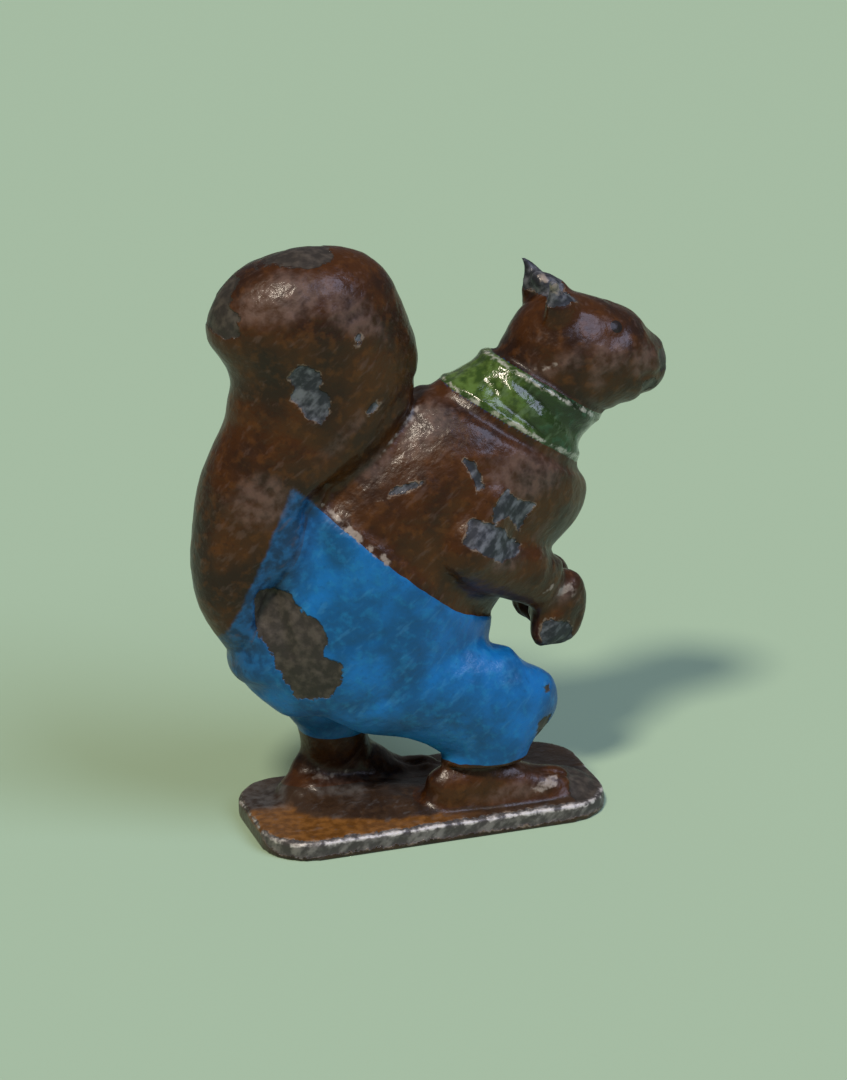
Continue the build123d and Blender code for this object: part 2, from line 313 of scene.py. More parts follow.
# Softening: each round moves a point by its softness towards its neighbours, least on the ears
slab_softness = 0.15
body_softness = 0.35
ear_crispness = 0.8
first_rounds = 10
body_starts = (slab_top + 0.1, slab_top + 0.9)
melt_softness = 0.5
melt_rounds = 55
melt_starts = (slab_top, slab_top + 0.25)
last_softness = 0.3

# Joints that melt into each other: centre and reach
melt_places = {
    "right_thigh": ((0.5, -4.6, 10.8), (5.5, 2.4, 2.4)),
    "left_thigh": ((0.5, 4.6, 10.8), (5.5, 2.4, 2.4)),
    "right_upper_arm": ((3.0, -5.2, 19.8), (2.6, 2.0, 4.2)),
    "left_upper_arm": ((3.0, 5.2, 19.8), (2.6, 2.0, 4.2)),
    "right_elbow": ((5.0, -3.6, 16.8), (2.6, 1.8, 2.0)),
    "left_elbow": ((5.0, 3.6, 16.8), (2.6, 1.8, 2.0)),
    "foot_of_seat": ((-9.2, 0.0, 7.8), (2.4, 5.0, 2.6)),
    "right_crease_at_tail": ((-9.1, -3.0, 19.8), (1.8, 2.2, 3.6)),
    "left_crease_at_tail": ((-9.1, 3.0, 19.8), (1.8, 2.2, 3.6)),
    "tail_root": ((-11.6, 0.0, 12.6), (1.8, 4.5, 2.0)),
    "right_wrist": ((7.9, -2.9, 15.8), (1.4, 1.8, 2.0)),
    "left_wrist": ((7.9, 2.9, 15.8), (1.4, 1.8, 2.0)),
    "right_back": ((-4.4, -2.8, 25.8), (3.0, 1.6, 3.0)),
    "left_back": ((-4.4, 2.8, 25.8), (3.0, 1.6, 3.0)),
    "left_ankle": ((-5.0, 2.7, 4.5), (2.6, 2.6, 1.5)),
    "left_foot": ((-4.6, 2.4, 2.0), (4.5, 2.6, 1.0)),
    "right_foot": ((3.4, -2.8, 1.9), (4.5, 2.2, 0.8)),
    "belly": ((4.6, 0.0, 13.6), (1.6, 4.0, 1.4)),
    "muzzle": ((14.3, 0.0, 29.6), (1.9, 2.6, 1.9)),
}

# Pushes given to the soft clay: centre, reach and move
pushes = {
    "chest": ((10.6, 0.0, 24.0), (1.7, 3.6, 2.2), (-0.95, 0.0, 0.25)),
    "left_toes": ((-0.2, 3.0, 2.8), (2.2, 2.2, 1.5), (0.0, 0.0, -0.75)),
    "right_paw": ((7.4, -2.9, 12.2), (1.6, 2.4, 1.5), (-0.25, 0.0, -0.35)),
    "right_fingers": ((9.4, -2.6, 12.3), (1.0, 2.4, 1.2), (-0.45, 0.0, 0.1)),
    "right_shin": ((6.6, -2.9, 5.2), (1.5, 2.6, 1.3), (-0.6, 0.0, 0.0)),
    "right_knee": ((6.6, -2.9, 10.9), (1.6, 2.6, 1.3), (-0.3, 0.0, -0.35)),
    "left_ear_tip": ((7.2, 1.8, 35.7), (0.8, 1.2, 0.6), (-0.55, 0.0, 0.1)),
}


def softened_clay():
    """The skin with its creases flowing as in soft metal."""
    points, squares, edges = read_skin(one_skin(pile_of_clay()))
    body = smooth_step(points[:, 2], *body_starts)
    ears = near(points, *ears_at)
    softness = slab_softness + body_softness * body * (1 - ear_crispness * ears)
    points = soften(points, edges, softness, first_rounds)
    melt = sum(near(points, centre, reach) for centre, reach in melt_places.values())
    melt = np.clip(melt, 0, 1) * (1 - ears) * smooth_step(points[:, 2], *melt_starts)
    points = soften(points, edges, melt_softness * melt, melt_rounds)
    points[:, 2] = np.maximum(points[:, 2], 0)
    return points, squares, edges


def pushed(points):
    """The clay's points after the pushes, none of them under the slab."""
    for centre, reach, move in pushes.values():
        points = points + near(points, centre, reach)[:, None] * np.array(move)
    points[:, 2] = np.maximum(points[:, 2], 0)
    return points


# Chips down to the metal on the right side and the ears: outlines in the side view, forward and up
bare_outlines = {
    "tail": [
        (-9.5, 30.9), (-9.0, 31.8), (-8.3, 31.6), (-7.7, 31.2), (-7.7, 30.3), (-7.2, 29.7),
        (-7.2, 28.7), (-7.7, 28.1), (-8.4, 28.3), (-8.9, 29.0), (-9.3, 29.5), (-9.1, 30.1),
    ],
    "shoulder": [
        (3.8, 22.9), (4.5, 22.0), (5.8, 21.5), (5.3, 20.8), (4.8, 19.9), (4.5, 20.3), (3.8, 21.1),
        (2.7, 21.0), (2.7, 21.9), (3.2, 22.5),
    ],
    "upper_arm": [
        (1.3, 21.3), (1.7, 21.4), (2.6, 21.0), (3.5, 20.5), (4.0, 19.6), (4.9, 19.0), (4.4, 18.4),
        (3.4, 18.4), (2.1, 19.0), (1.4, 19.6), (0.5, 20.0), (0.9, 20.6),
    ],
    "sliver_over_arm": [
        (1.2, 24.9), (1.8, 24.8), (2.1, 24.0), (2.3, 23.1), (1.9, 23.0), (1.6, 23.9), (1.3, 24.4),
    ],
    "ears": [(6.2, 36.0), (6.8, 33.4), (8.2, 33.3), (9.4, 33.4), (9.0, 36.0)],
}
# Places there where dark tarnish shows
tarnished_outlines = {
    "back_of_tail_top": [
        (-11.2, 37.6), (-11.8, 36.3), (-12.2, 35.8), (-12.5, 35.1), (-12.1, 34.6), (-12.3, 34.0),
        (-12.1, 33.5), (-12.9, 33.2), (-14.4, 34.0), (-14.4, 36.5),
    ],
    "tail_top": [
        (-10.8, 37.0), (-9.6, 37.25), (-8.7, 37.2), (-7.8, 37.1), (-6.9, 37.3), (-6.0, 37.4),
        (-5.7, 38.4), (-10.5, 38.4),
    ],
    "seat": [
        (-11.7, 16.8), (-11.3, 17.4), (-10.1, 17.3), (-9.3, 16.9), (-8.8, 15.9), (-7.9, 15.4),
        (-7.6, 14.3), (-7.8, 13.2), (-6.8, 12.9), (-6.8, 11.5), (-7.4, 10.4), (-9.3, 10.3),
        (-10.1, 11.5), (-10.7, 13.2), (-11.3, 14.3),
    ],
    "knee": [(6.7, 9.1), (7.2, 9.1), (7.2, 8.6), (6.8, 8.6)],
    "nose": [(14.8, 29.5), (16.2, 29.6), (16.2, 28.3), (15.1, 28.2)],
    "chin": [(13.4, 28.0), (14.6, 28.1), (15.0, 27.0), (13.6, 26.9)],
    "slab_front": [(9.0, 3.2), (11.6, 3.2), (11.6, 0.9), (8.7, 1.0), (8.5, 1.7)],
    "left_ankle": [(-9.5, 5.9), (-4.0, 5.0), (-4.0, 3.9), (-9.5, 3.9)],
    "right_shin": [(6.2, 7.0), (7.4, 7.2), (6.6, 4.2), (5.8, 4.2)],
}
# Small chips: centre, half length, half width and tilt in the side view; those on the left are guessed
bare_spots = {
    "front_of_tail": ((-4.3, -3.6, 28.6), 0.45, 0.3, 40),
    "tail_speck": ((-5.3, -3.8, 32.9), 0.35, 0.2, 60),
    "back_scratch": ((-2.55, -3.9, 23.3), 0.8, 0.16, 20),
    "right_paw": ((8.1, -2.4, 11.7), 1.5, 1.1, -60),
    "left_of_tail": ((-5.2, 3.6, 31.4), 1.0, 0.7, 60),
    "left_arm": ((1.8, 4.9, 21.6), 1.1, 0.5, -35),
    "left_seat": ((-4.6, 4.9, 14.0), 0.9, 0.8, 20),
    "left_cheek": ((9.6, 3.0, 30.2), 0.6, 0.3, 10),
}
# Places where the paint is rubbed thin, in the same way
thin_spots = {
    "slab_back": ((-9.8, 2.6, 1.3), 1.7, 1.6, 0),
    "slab_front": ((10.2, -2.4, 1.3), 1.6, 1.6, 0),
    "low_on_tail": ((-11.3, -3.2, 23.2), 1.9, 1.5, 30),
    "tail_scrape": ((-6.3, -3.8, 27.0), 1.2, 0.4, 45),
    "front_of_tail": ((-5.6, -3.6, 34.6), 2.6, 1.0, -35),
    "tail_top": ((-9.5, -2.6, 35.6), 3.0, 1.3, 15),
    "upper_back": ((-0.6, -2.6, 26.6), 1.9, 0.8, 38),
    "lower_back": ((-3.9, -2.6, 24.8), 1.6, 0.6, 40),
    "shoulder": ((5.2, -4.4, 23.6), 2.8, 1.5, -10),
    "behind_cheek": ((8.25, -3.1, 30.0), 0.9, 0.6, 30),
    "jaw": ((10.2, -3.3, 28.7), 0.6, 0.8, 0),
    "below_eye": ((10.9, -3.0, 30.2), 1.5, 0.9, -30),
    "nape": ((7.2, -2.8, 29.6), 0.9, 0.4, 10),
    "muzzle": ((13.6, -2.2, 29.4), 1.2, 0.9, 0),
    "wrist": ((8.3, -2.9, 14.6), 0.9, 0.6, 20),
    "elbow": ((3.4, -5.2, 18.6), 1.6, 0.8, -20),
    "left_foot": ((-5.6, -0.4, 2.6), 1.6, 0.7, 0),
    "right_foot": ((4.6, -3.6, 2.2), 2.0, 0.6, 0),
}
# Painted highlights: pale spots where light glints on the casting, in the same way
highlight_spots = {
    "right_ear_knob": ((7.9, -1.8, 34.4), 0.55, 0.40, 0),
    "left_foot": ((-5.4, -0.8, 2.6), 1.3, 0.20, 5),
    "left_heel": ((-6.7, -0.4, 2.9), 0.6, 0.35, 0),
    "right_toes": ((6.9, -3.7, 2.3), 0.9, 0.32, 10),
    "wrist": ((8.5, -3.2, 14.9), 0.5, 0.22, 20),
    "knuckle": ((9.2, -2.8, 14.6), 0.35, 0.2, 60),
    "forearm": ((7.2, -3.4, 15.6), 0.5, 0.15, 30),
    "upper_back": ((-1.2, -3.4, 27.2), 0.7, 0.16, 42),
    "lower_back": ((-2.9, -3.4, 25.8), 0.7, 0.13, 42),
    "nape": ((7.3, -2.9, 29.75), 0.7, 0.16, 10),
}
spot_depth = 2.6
right_side_ends = 0.3


def spots_level(points, spots):
    """Millimetres inside the nearest spot, below zero outside it."""
    level = np.full(len(points), -far)
    for centre, long_half, short_half, tilt in spots.values():
        turn = math.radians(tilt)
        offset = points - np.array(centre)
        along = offset[:, 0] * math.cos(turn) + offset[:, 2] * math.sin(turn)
        across = -offset[:, 0] * math.sin(turn) + offset[:, 2] * math.cos(turn)
        depth = offset[:, 1] / spot_depth
        reach = np.sqrt((along / long_half) ** 2 + (across / short_half) ** 2 + depth ** 2)
        level = np.maximum(level, (1 - reach) * short_half)
    return level


def outlines_level(points, outlines):
    """Millimetres inside the nearest outline, below zero outside it, on the right side and the ears."""
    level = np.full(len(points), -far)
    side_view = points[:, [0, 2]]
    for outline in outlines.values():
        corners = np.array(outline)
        away = np.full(len(points), far)
        inside = np.zeros(len(points), bool)
        for start, end in zip(corners, np.roll(corners, -1, axis=0)):
            away = np.minimum(away, away_from_line(points, start, end))
            crosses = (start[1] > side_view[:, 1]) != (end[1] > side_view[:, 1])
            rise = end[1] - start[1] if end[1] != start[1] else 1
            at = start[0] + (side_view[:, 1] - start[1]) / rise * (end[0] - start[0])
            inside ^= crosses & (side_view[:, 0] < at)
        level = np.maximum(level, np.where(inside, away, -away))
    return np.where((points[:, 1] < right_side_ends) | (points[:, 2] > ear_foot), level, -far)


# Relief: layers of bumps on the body, the slab and the ground, as height, size across and seed
body_bumps = [(0.07, 2.3, 1), (0.035, 0.8, 2), (0.012, 0.4, 7)]
slab_bumps = [(0.03, 1.2, 3)]
ground_bumps = [(0.16, 1.5, 8), (0.07, 0.7, 9)]
body_above = (0.6, 1.6)
underside = 0.2
ground_edge = (-0.2, 0.6)
ground_below = (-3.6, -2.2)

# Neckerchief: rolled rims, slanting folds, and the creases beside it as offset, width and depth
cloth_blur = 2
rim_inset = 0.30
rim_width = 0.26
rim_height = 0.15
upper_rim_share = 0.8
fold_spacing = 1.8
fold_turn_share = 0.55
fold_bumps = [(0.9, 1.2, 4)]
fold_height = 0.03
fold_height_at_sides = 0.09
neck_sides = (1.2, 3.0)
neck_at = ((7.0, 0, 27.5), (7.5, 7.5, 7.5))
crease_below = (0.45, 0.35, 0.38)
crease_above = (0.35, 0.28, 0.14)

# Trousers' waist: the cloth's edge stands a little proud of the body
waist_blur = 4
cloth_height = 0.13
cloth_starts = (-0.10, 0.15)
cloth_fades = (-2.2, -0.3)

# Face on both sides: centre, reach and height
face_forms = {
    "socket": ((11.5, 2.3, 31.0), (0.75, 0.8, 0.55), -0.34),
    "eyeball": ((11.45, 2.35, 30.95), (0.33, 0.5, 0.33), 0.14),
}

# Pressed lines in the side view: start, end, width, depth, and -1 for the right side or 0 for both
pressed_lines = {
    "upper_tail_crease": ((-8.2, 21.7), (-10.3, 16.9), 0.28, 0.14, 0),
    "lower_tail_crease": ((-10.3, 16.9), (-9.7, 13.4), 0.35, 0.12, 0),
    "fold_of_seat": ((-7.8, 13.5), (-4.4, 14.4), 0.35, 0.10, -1),
    "mouth": ((15.2, 28.2), (13.4, 28.4), 0.22, 0.12, 0),
    "tail_waist": ((-9.0, 27.2), (-7.2, 26.0), 0.60, 0.12, 0),
}

# Gaps between the toes, forward and to the left, and between the fingers, out from the middle
toe_gaps = [(7.9, -3.25), (7.9, -2.15), (0.7, 2.15), (0.7, 3.25)]
toe_height = 2.4
toe_reach = (1.5, any_width, 1.6)
toe_gap_width = 0.16
toe_gap_depth = 0.22
finger_gaps = [0.75, 1.6, 2.4]
fingers_at = ((8.3, 0, 12.2), (2.0, any_width, 1.7))
finger_gap_width = 0.15
finger_gap_depth = 0.13


def neckerchief_relief(points, edges, solids):
    """The cloth's rolled rims and folds, and the creases that it presses into the neck."""
    cloth = spread((solids == "neckerchief").astype(float), edges, cloth_blur)
    up = neck_level(points)
    round_neck = np.arctan2(points[:, 1], points[:, 0] - collar[0])
    lower_rim = bell(up - rim_inset, rim_width)
    upper_rim = bell(up - band_height + rim_inset, rim_width)
    waves = np.cos(2 * math.pi * (up / fold_spacing + fold_turn_share * round_neck))
    folds = waves + bumps(points, fold_bumps)
    fold_heights = fold_height + fold_height_at_sides * smooth_step(np.abs(points[:, 1]), *neck_sides)
    raised = cloth * (rim_height * (lower_rim + upper_rim_share * upper_rim) + fold_heights * folds)
    offset_below, width_below, depth_below = crease_below
    offset_above, width_above, depth_above = crease_above
    below = depth_below * bell(up + offset_below, width_below)
    above = depth_above * bell(up - band_height - offset_above, width_above)
    return raised - (1 - cloth) * near(points, *neck_at) * (below + above)


def sculpted(points, edges, solids):
    """The relief on the soft shapes, in millimetres along the normals."""
    on_body = smooth_step(points[:, 2], *body_above)
    relief = on_body * bumps(points, body_bumps)
    relief += (1 - on_body) * bumps(points, slab_bumps) * (points[:, 2] > underside)
    ground = smooth_step(-mound_level(points), *ground_edge) * smooth_step(-points[:, 2], *ground_below)
    relief += ground * bumps(points, ground_bumps)
    relief += neckerchief_relief(points, edges, solids)

    level = waist_level(points)
    body = np.isin(solids, ["trousers_seat", "torso"])
    flank = spread(body.astype(float), edges, waist_blur)
    relief += flank * cloth_height * smooth_step(-level, *cloth_starts) * smooth_step(level, *cloth_fades)

    for side in left_and_right:
        for (x, y, z), reach, height in face_forms.values():
            relief += height * near(points, (x, side * y, z), reach)
    for start, end, width, depth, side in pressed_lines.values():
        there = (points[:, 1] * side > 0) | (side == 0)
        relief -= there * depth * bell(away_from_line(points, start, end), width)
    for x, y in toe_gaps:
        toes = near(points, (x, y, toe_height), toe_reach)
        relief -= toe_gap_depth * toes * bell(points[:, 1] - y, toe_gap_width)
    fingers = near(points, *fingers_at)
    for y in finger_gaps:
        relief -= finger_gap_depth * fingers * bell(np.abs(points[:, 1]) - y, finger_gap_width)
    return relief


# How the paint's edges wander, as bumps, and how much of that each kind of edge takes up
edge_wander = [(0.30, 0.9, 5), (0.16, 0.35, 6)]
chip_wander = 0.45
thin_wander = 1.3
thin_fade = (-0.35, 0.45)

# Worn rim of the slab and the painted highlight line on it: width, how far down the wall, how much
# wider and deeper it is on the right side, and how much it wanders
right_wall = (1.5, 4.0)
worn_rim = (0.10, 0.0, 0.22, 0.55, 0.35)
rim_highlight = (0.05, 0.06, 0.12, 0.0, 0.45)
slab_edge_drop = 0.12
slab_edge_inset = 0.08
slab_edge_highest = 1.6

# Painted light: a lighter ochre on the slab's top in its back corner on the right, where the figure's
# shadow doesn't fall
slab_top_starts = (0.8, 1.1)
slab_top_ends = (slab_top + 0.1, slab_top + 0.35)
lit_ochre_off_mound = (-0.05, 0.2)
lit_ochre_backward = (-3.5, 2.0)
lit_ochre_rightward = (-1.0, -0.2)
lit_ochre_wanders = (0.4, 1.8, 0.5)

# Blue strip on the tail, and the yellower green painted on the neckerchief's back as warm light falling
# there
strip_wander = 0.35
strip_edge = (-0.06, 0.10)
strip_top = (0.12, -0.05)
strip_starts = (-2.6, 0.0)
warm_lit_share = 0.65
warm_lit_wander = 1.5
warm_lit_edge = (-1.2, 1.2)

# Pale lines: a painted highlight along the back half of the trousers' waist, and both edges of the
# neckerchief, worn pale with painted highlights on them, each with its width and how far inside the
# band's edge it runs
waist_highlight_width = 0.20
waist_highlight_height = 0.22
waist_highlight_wander = 0.5
waist_back_half = (2.6, 4.2)
waist_back_wander = 1.2
waist_corner = (0.3, 1.2)
waist_front_kept = 1.2
lower_band_edge = (0.13, 0.22)
upper_band_edge = (0.10, 0.10)
band_edge_wander = 0.40
band_side_ends = 0.5
bend_blur = 5


def slab_rim_level(points, wander, rim):
    """Millimetres inside a strip along the slab's upper edge, used for the worn rim and for the painted
    highlight line on it.
    """
    width, drop, wider, deeper, rim_wander = rim
    on_right = smooth_step(-points[:, 1], *right_wall)
    drop = drop + deeper * on_right
    past = np.abs(points[:, :2]) - (slab_half - slab_corner)
    outside = np.linalg.norm(np.maximum(past, 0), axis=1) + np.minimum(past.max(1), 0) - slab_corner
    below_edge = slab_top - slab_edge_drop - points[:, 2]
    away = np.hypot(outside + slab_edge_inset, below_edge - np.clip(below_edge, 0, drop))
    away = np.where(points[:, 2] < slab_edge_highest, away, far)
    return width + wider * on_right - away + rim_wander * wander


def lit_ochre_share(points, wander):
    """How far each point lies in the ochre corner of the slab's top, painted as the part in light, from 0
    to 1.
    """
    mound_wander, back_wander, right_wander = lit_ochre_wanders
    share = smooth_step(points[:, 2], *slab_top_starts) * (1 - smooth_step(points[:, 2], *slab_top_ends))
    share *= smooth_step(mound_level(points) + mound_wander * wander, *lit_ochre_off_mound)
    share *= smooth_step(back_wander * wander - points[:, 0], *lit_ochre_backward)
    return share * smooth_step(right_wander * wander - points[:, 1], *lit_ochre_rightward)


def strip_share(points, wander):
    """How far each point lies in the blue strip that the brush left on the tail, from 0 to 1."""
    behind = back_level(points) - strip_wander * wander
    share = smooth_step(trouser_strip - behind, *strip_edge) * smooth_step(waist_level(points), *strip_top)
    return share * smooth_step(behind, *strip_starts)


def warm_lit_green_share(points, wander):
    """How far each point lies on the neckerchief's yellower back, painted as warm light falling there,
    from 0 to 1.
    """
    return warm_lit_share * smooth_step(collar[0] - points[:, 0] + warm_lit_wander * wander, *warm_lit_edge)


def waist_highlight_level(points, wander):
    """Millimetres inside the pale line above the trousers on the back half of the waist: a painted
    highlight.
    """
    back_half = smooth_step(-points[:, 0] + waist_back_wander * wander, *waist_back_half)
    back_half *= smooth_step(points[:, 0] - tail_corner[0], *waist_corner)
    line = waist_highlight_width - np.abs(waist_level(points) - waist_highlight_height)
    return line + waist_highlight_wander * wander - waist_front_kept * (1 - back_half)


def band_wear_and_highlight_level(points, wander):
    """Millimetres inside the pale lines along both edges of the neckerchief, on the right side: wear with
    painted highlights on it.
    """
    up = neck_level(points)
    lower_width, lower_inset = lower_band_edge
    upper_width, upper_inset = upper_band_edge
    lower = lower_width - np.abs(up - lower_inset)
    upper = upper_width - np.abs(up - band_height + upper_inset)
    on_neck = (points[:, 0] > neck_span[0]) & (points[:, 0] < neck_span[1])
    on_neck &= (points[:, 2] > neck_lowest) & (points[:, 1] < band_side_ends)
    return np.where(on_neck, np.maximum(lower, upper) + band_edge_wander * wander, -far)


def painted_levels(points, edges, normals, solids):
    """What the enamel needs to know at each point. Bare, tarnished and pale are millimetres inside such a
    place, thin and patch are shares of it, and crease is the skin's bend, below zero in a hollow. Pale
    holds worn edges and painted highlights; patch holds the blue strip and painted light."""
    wander = bumps(points, edge_wander)
    ragged = chip_wander * wander
    chips = np.maximum(outlines_level(points, bare_outlines), spots_level(points, bare_spots))
    # The patch: the blue strip on the tail above the cuffs, and below them the ochre painted as light on
    # the slab
    patch = np.where(points[:, 2] > cuff_height, strip_share(points, wander), lit_ochre_share(points, wander))
    # Pale lines: the painted highlight at the waist, the neckerchief's worn edges with painted highlights,
    # the painted highlight on the slab's rim, and the painted highlight spots
    edge_levels = [
        waist_highlight_level(points, wander),
        band_wear_and_highlight_level(points, wander),
        slab_rim_level(points, wander, rim_highlight),
        spots_level(points, highlight_spots) + ragged,
    ]
    bend = ((points - neighbours_mean(points, edges, len(points))) * normals).sum(1)
    return {
        "bare": np.maximum(chips + ragged, slab_rim_level(points, wander, worn_rim)),
        "tarnished": outlines_level(points, tarnished_outlines) + ragged,
        "thin": smooth_step(spots_level(points, thin_spots) + thin_wander * wander, *thin_fade),
        "patch": np.where(solids == "neckerchief", warm_lit_green_share(points, wander), patch),
        "pale": np.maximum.reduce(edge_levels),
        "crease": spread(bend / clay_grain ** 2, edges, bend_blur),
    }


# Which piece of the painted casting each CAD solid turns into, and its slot
painted_names = {name: f"painted_{name}" for name in frame["nodes"]}
slots = {part["node"]: part["material_slot"] for part in frame["record"]["subparts"]}

# Rounds that join specks to the piece round them and smooth the lines where pieces meet
speck_rounds = 3
border_rounds = 6

# How deep inside the casting each piece is closed
closing_depth = 0.35


def parted(points, squares, solids_at_squares):
    """The solid's name for each square, with the trousers cut along their waistline and cuffs."""
    middles = points[squares].mean(1)
    names = solids_at_squares.copy()
    level = waist_level(middles)
    body = np.isin(names, ["torso", "trousers_seat"])
    names[body & (level > 0)] = "torso"
    names[body & (level <= 0)] = "trousers_seat"
    for leg, foot, height in cuffs:
        names[(names == leg) & (middles[:, 2] < height)] = foot
    kinds, codes = np.unique(names, return_inverse=True)
    for _ in range(speck_rounds):
        votes = np.zeros((len(points), len(kinds)))
        for corner in range(4):
            np.add.at(votes, (squares[:, corner], codes), 1)
        codes = votes[squares].sum(1).argmax(1)
    return kinds[codes]


def smooth_borders(points, squares, names):
    """Evens out the zigzag of the lines where pieces meet."""
    _, codes = np.unique(names, return_inverse=True)
    sides = sides_of(squares)
    owner = np.tile(codes, 4)
    pairs = np.lexsort((sides.max(1), sides.min(1))).reshape(-1, 2)
    border = pairs[owner[pairs[:, 0]] != owner[pairs[:, 1]]][:, 0]
    lines = np.sort(sides[border], axis=1)
    on_one_line = np.bincount(lines.ravel(), minlength=len(points)) == 2
    for _ in range(border_rounds):
        mean = neighbours_mean(points, lines, len(points))
        points = np.where(on_one_line[:, None], (points + mean) / 2, points)
    return points


def rim_loops(squares):
    """The closed loops of sides that only one square has."""
    sides = dict.fromkeys((square[k], square[(k + 1) % 4]) for square in squares for k in range(4))
    rim = [side for side in sides if side[::-1] not in sides]
    joined = {end: end for side in rim for end in side}

    def first_of(point):
        while joined[point] != point:
            joined[point] = joined[joined[point]]
            point = joined[point]
        return point

    for a, b in rim:
        joined[first_of(a)] = first_of(b)
    loops = {}
    for a, b in rim:
        loops.setdefault(first_of(a), []).append((a, b))
    return loops.values()


def closed_piece(name, points, squares, normals, levels):
    """One painted piece from its squares, closed inside the casting, in metres."""
    used, local = np.unique(squares, return_inverse=True)
    local = local.reshape(-1, 4).tolist()
    places = list(points[used])
    closing = []
    for loop in rim_loops(local):
        inner = {}
        for a, _ in loop:
            inner[a] = len(places)
            places.append(places[a] - closing_depth * normals[used[a]])
        hub = len(places)
        places.append(np.mean([places[k] for k in inner.values()], axis=0))
        for a, b in loop:
            closing += [(b, a, inner[a], inner[b]), (inner[b], inner[a], hub)]
    mesh = bpy.data.meshes.new(name)
    mesh.from_pydata((np.array(places) * mm).tolist(), [], local + closing)
    mesh.polygons.foreach_set("use_smooth", np.ones(len(mesh.polygons), bool))
    for level, values in levels.items():
        layer = mesh.attributes.new(level, "FLOAT", "POINT")
        padded = np.zeros(len(places))
        padded[:len(used)] = values[used]
        layer.data.foreach_set("value", padded)
    facing = np.zeros((len(places), 3))
    facing[:len(used)] = normals[used]
    facing[len(used):] = (0, 0, 1)
    mesh.normals_split_custom_set_from_vertices(facing.tolist())
    piece = bpy.data.objects.new(name, mesh)
    bpy.context.scene.collection.objects.link(piece)
    return piece


# Patterns in the enamel: size across in millimetres, and how much finer detail it holds.
# Real grit and brush hairs are finer than this; these are as coarse as they need to be to show.
patterns = {"clouds": (3.2, 5.0), "specks": (0.6, 7.0), "grit": (0.28, 4.0), "strokes": (0.45, 6.0)}
stroke_lean = math.radians(40)
stroke_stretch = 0.3
grit_edge = 0.45
level_names = ("bare", "tarnished", "thin", "crease", "patch", "pale")

# What follows from the patterns and levels, in order. A fade has what it follows, where it starts and
# ends, and its most. The others are the math node's operations and what they are given.
steps = {
    "middle_coat": ("FADE", "clouds", 0.36, 0.62, 1.0),
    "light_specks": ("FADE", "specks", 0.48, 0.70, 0.42),
    "dark_grit": ("FADE", "grit", 0.58, 0.72, 0.45),
    "patch_specks": ("FADE", "specks", 0.38, 0.64, 1.0),
    "thin_specks": ("FADE", "specks", 0.28, 0.66, 0.55),
    "thin_paint": ("MULTIPLY", "thin", "thin_specks"),
    "dry_strokes": ("FADE", "strokes", 0.56, 0.70, 0.25),
    "speckled_bend": ("MULTIPLY_ADD", "specks", 0.5, "crease"),
    "high_places": ("FADE", "speckled_bend", 0.75, 1.25, 0.4),
    "hollows": ("FADE", "crease", -0.10, -0.65, 1.0),
    # Painted shade: the hollows darkened in colour, where the creases would lie in shade
    "shaded_hollows": ("MULTIPLY", "hollows", 0.9),
    "ragged": ("MULTIPLY_ADD", "grit", grit_edge, -grit_edge / 2),
    "ragged_bare": ("ADD", "bare", "ragged"),
    "chips": ("FADE", "ragged_bare", -0.03, 0.05, 1.0),
    "chips_and_rims": ("FADE", "ragged_bare", -0.13, -0.04, 1.0),
    "rims": ("SUBTRACT", "chips_and_rims", "chips"),
    "rim_specks": ("FADE", "specks", 0.45, 0.60, 0.6),
    "broken_rims": ("MULTIPLY", "rims", "rim_specks"),
    "ragged_tarnish": ("ADD", "tarnished", "ragged"),
    "tarnish": ("FADE", "ragged_tarnish", -0.04, 0.06, 1.0),
    "tarnish_specks": ("FADE", "specks", 0.40, 0.70, 1.0),
    "strokes_and_specks": ("ADD", "strokes", "specks"),
    "scratches": ("FADE", "strokes_and_specks", 0.88, 1.28, 1.0),
    # Pale lines: worn edges and painted highlights, broken by specks
    "ragged_pale": ("ADD", "pale", "ragged"),
    "pale_lines": ("FADE", "ragged_pale", -0.05, 0.10, 1.0),
    "pale_specks": ("FADE", "specks", 0.38, 0.56, 0.85),
    "broken_pale_lines": ("MULTIPLY", "pale_lines", "pale_specks"),
    "metal": ("MULTIPLY", "chips", 0.35),
    "bare_or_tarnished": ("MAXIMUM", "chips", "tarnish"),
    "dull_hollows": ("MULTIPLY", "hollows", 0.8),
    "dull_places": ("MAXIMUM", "bare_or_tarnished", "dull_hollows"),
    "rough_specks": ("MULTIPLY_ADD", "specks", 0.16, "paint_roughness"),
    "rough_places": ("MULTIPLY_ADD", "dull_places", 0.22, "rough_specks"),
    "roughness": ("MULTIPLY_ADD", "thin", 0.14, "rough_places"),
    "paint_step": ("SUBTRACT", 1.0, "bare_or_tarnished"),
    "specks_on_step": ("MULTIPLY_ADD", "specks", 0.8, "paint_step"),
    "strokes_on_specks": ("MULTIPLY_ADD", "strokes", 0.6, "specks_on_step"),
    "relief": ("MULTIPLY_ADD", "grit", 0.4, "strokes_on_specks"),
}
paint_relief = 0.065 * mm
relief_strength = 0.9
coat_roughness = 0.12

# Colours that coats share, tones from dark to light; the blue ones are the strip on the tail
# Painted shade: the dark brown laid into the hollows
hollow_shade_brown = "#130B06"
rim_dust = "#85776A"
tarnish_tones = ("#2E2924", "#4A433B")
blue_tones = ("#10375A", "#1A5585")
lead_tones = ("#2F3137", "#6E7077")
# Pale lines: worn edges with painted highlights on them
worn_and_highlit_edge = "#92867C"

# Places of the mix node's sockets for colours
mix_share, mix_under, mix_over, mix_result = 0, 6, 7, 2


